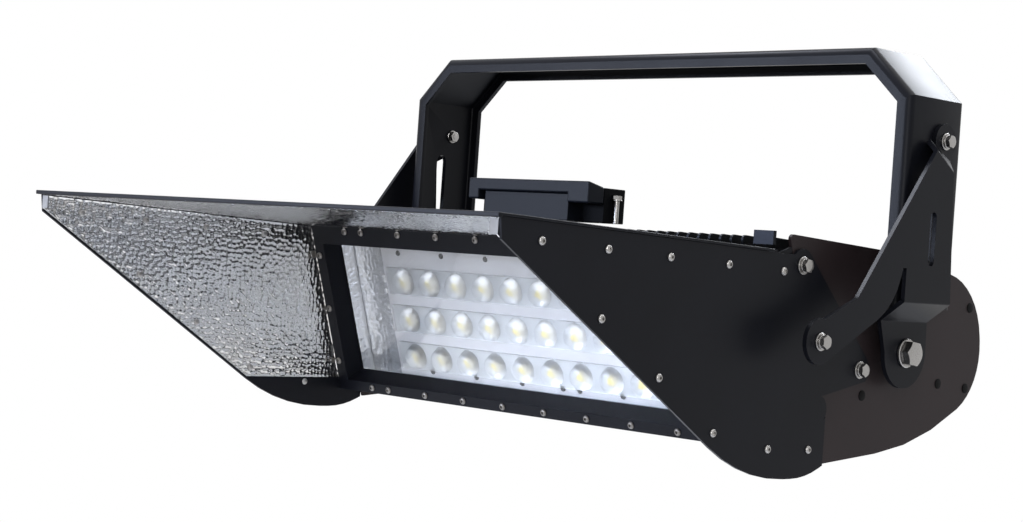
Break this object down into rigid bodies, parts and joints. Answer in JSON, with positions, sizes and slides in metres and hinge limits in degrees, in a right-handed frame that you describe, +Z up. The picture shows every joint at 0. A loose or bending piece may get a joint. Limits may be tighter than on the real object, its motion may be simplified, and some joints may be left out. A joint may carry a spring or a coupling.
{
  "type": "high mast floodlight head",
  "caption": "LED floodlight head for a high mast: finned housing, hammered reflector visor, lens frame and U yoke with tilting arm plates.",
  "frame": {"origin": "on the top face of the yoke's crossbar, halfway along it and halfway across it", "axes": "+X along the crossbar, -Y the side the light leaves and the visor reaches, +Z up out of the crossbar's top face"},
  "size_m": [0.668, 0.6389, 0.3732],
  "materials": {
    "black_powder_coat": "satin black powder coat on sheet steel",
    "black_cast_aluminium": "black coated cast and extruded aluminium",
    "stainless_steel": "plain stainless steel fasteners",
    "hammered_aluminium": "bright hammered reflector sheet",
    "white_board": "white solder mask",
    "clear_acrylic": "clear moulded acrylic optics",
    "toughened_glass": "clear toughened glass",
    "grey_plastic": "satin dark grey cast box",
    "black_rubber": "matt silicone rubber seal"
  },
  "bodies": {
    "yoke_frame": {"yoke": "black_powder_coat", "arm_plate_left": "black_powder_coat", "arm_plate_right": "black_powder_coat"},
    "lamp": {"end_plate_left": "black_powder_coat", "end_plate_right": "black_powder_coat", "lens_frame": "black_powder_coat", "visor_side_left": "black_powder_coat", "visor_side_right": "black_powder_coat", "visor_top": "black_powder_coat", "pivot_bolt_left": "stainless_steel", "pivot_bolt_right": "stainless_steel", "pivot_spacer_left": "stainless_steel", "pivot_spacer_right": "stainless_steel", "pivot_boss_left": "black_cast_aluminium", "pivot_boss_right": "black_cast_aluminium", "heat_sink": "black_cast_aluminium", "sink_lug_left": "black_cast_aluminium", "sink_lug_right": "black_cast_aluminium", "light_tray": "hammered_aluminium", "side_lining_left": "hammered_aluminium", "side_lining_right": "hammered_aluminium", "top_lining": "hammered_aluminium", "led_board": "white_board", "lens_row_1": "clear_acrylic", "lens_row_2": "clear_acrylic", "lens_row_3": "clear_acrylic", "front_glass": "toughened_glass", "glass_gasket": "black_rubber", "supply_box": "grey_plastic", "supply_box_lid": "grey_plastic", "box_bracket_left": "grey_plastic", "box_bracket_right": "grey_plastic"}
  },
  "joints": [
    {"name": "lamp_tilt", "type": "hinge", "parent": "yoke_frame", "child": "lamp", "pos_m": [0, -0.016, -0.2655], "axis": [1, 0, 0], "range_deg": [-30, 75]}
  ]
}
